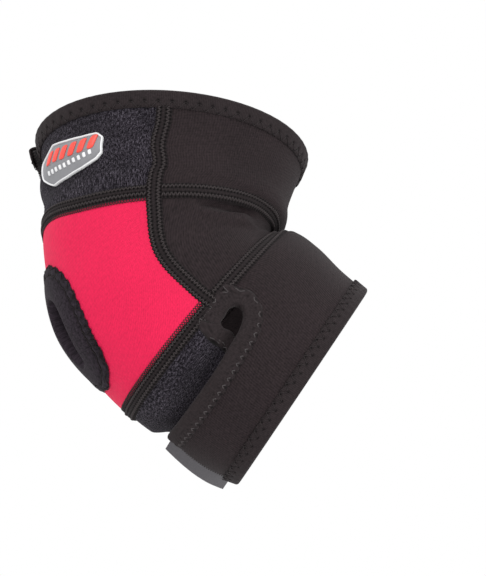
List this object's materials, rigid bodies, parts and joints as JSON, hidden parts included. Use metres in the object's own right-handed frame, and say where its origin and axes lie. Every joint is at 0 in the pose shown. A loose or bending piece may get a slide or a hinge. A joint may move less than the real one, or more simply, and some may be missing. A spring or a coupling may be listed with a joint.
{
  "type": "elbow brace",
  "caption": "Bent neoprene elbow sleeve with wrap-over straps, bound edges, flatlock seams and an open elbow tip.",
  "frame": {"origin": "middle of the elbow, where the axes of the upper arm hollow and of the forearm hollow cross", "axes": "+Z along the upper arm to the rim, +X ahead to the crook, -Y the near side with the badge"},
  "size_m": [0.1456, 0.1077, 0.1483],
  "materials": {
    "smooth_cloth": "fine knit",
    "loop_cloth": "brushed loop",
    "red_cloth": "fine knit",
    "binding": "knitted tape",
    "seam_thread": "stitched",
    "hook_tape": "hook side",
    "badge": "matt",
    "badge_edge": "matt"
  },
  "bodies": {
    "root": {"upper_front_panel": "smooth_cloth", "upper_loop_panel": "loop_cloth", "elbow_panel": "red_cloth", "crook_panel": "smooth_cloth", "forearm_front_panel": "smooth_cloth", "forearm_loop_panel": "loop_cloth", "rim_tape": "binding", "hem_tape": "binding", "upper_slot_tape": "binding", "forearm_slot_tape": "binding", "elbow_hole_band": "binding", "near_side_seam": "seam_thread", "far_side_seam": "seam_thread", "upper_crook_seam": "seam_thread", "upper_elbow_seam": "seam_thread", "near_lower_crook_seam": "seam_thread", "far_lower_crook_seam": "seam_thread", "lower_elbow_seam": "seam_thread", "hook_tab": "hook_tape", "badge_plate": "badge", "badge_frame": "badge_edge"}
  },
  "joints": []
}
